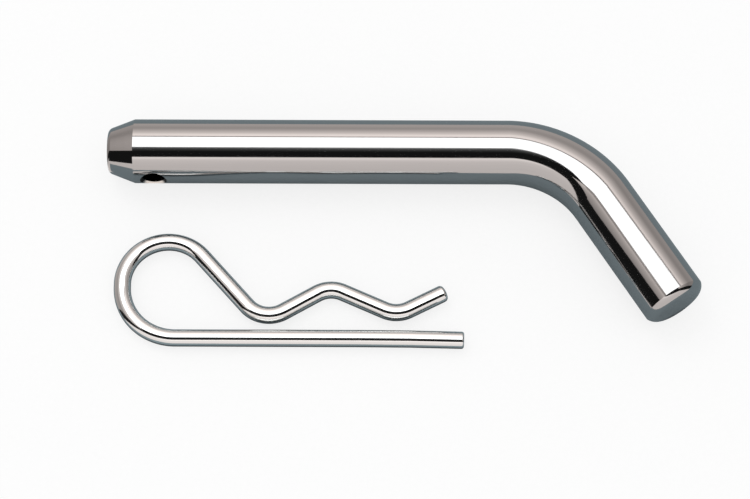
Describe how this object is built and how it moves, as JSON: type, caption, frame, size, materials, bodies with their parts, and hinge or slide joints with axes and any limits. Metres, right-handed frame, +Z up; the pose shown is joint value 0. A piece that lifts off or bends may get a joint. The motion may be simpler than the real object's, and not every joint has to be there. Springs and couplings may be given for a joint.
{
  "type": "hitch pin with hairpin clip",
  "caption": "Bent round-bar hitch pin with a tapered nose and a cross hole, and the spring-wire hairpin clip that locks it, lying beside it.",
  "frame": {"origin": "centre of the pin's cross hole, on the shank's axis", "axes": "+X along the shank from the nose to the bend, the arm turns towards -Y, +Z up from the table that the pin and the clip lie on"},
  "size_m": [0.1454, 0.0575, 0.0158],
  "materials": {
    "pin_steel": "polished stainless steel, with faint drawing lines along the bar",
    "clip_wire": "bright spring-tempered stainless steel wire, with small handling scuffs"
  },
  "bodies": {
    "pin": {"hitch_pin": "pin_steel"},
    "clip": {"clip_straight_leg": "clip_wire", "clip_spring_loop": "clip_wire"},
    "clip_free_leg": {"clip_wavy_leg": "clip_wire"}
  },
  "joints": [
    {"name": "clip_lift", "type": "slide", "parent": "pin", "child": "clip", "axis": [0, 0, 1], "range_m": [0, 0.06]},
    {"name": "clip_spring_open", "type": "hinge", "parent": "clip", "child": "clip_free_leg", "pos_m": [0.00398, -0.03314, -0.00584], "axis": [0, 0, 1], "range_deg": [0, 5], "stiffness_Nm_per_rad": 5, "deforming": ["clip_spring_loop"]}
  ]
}
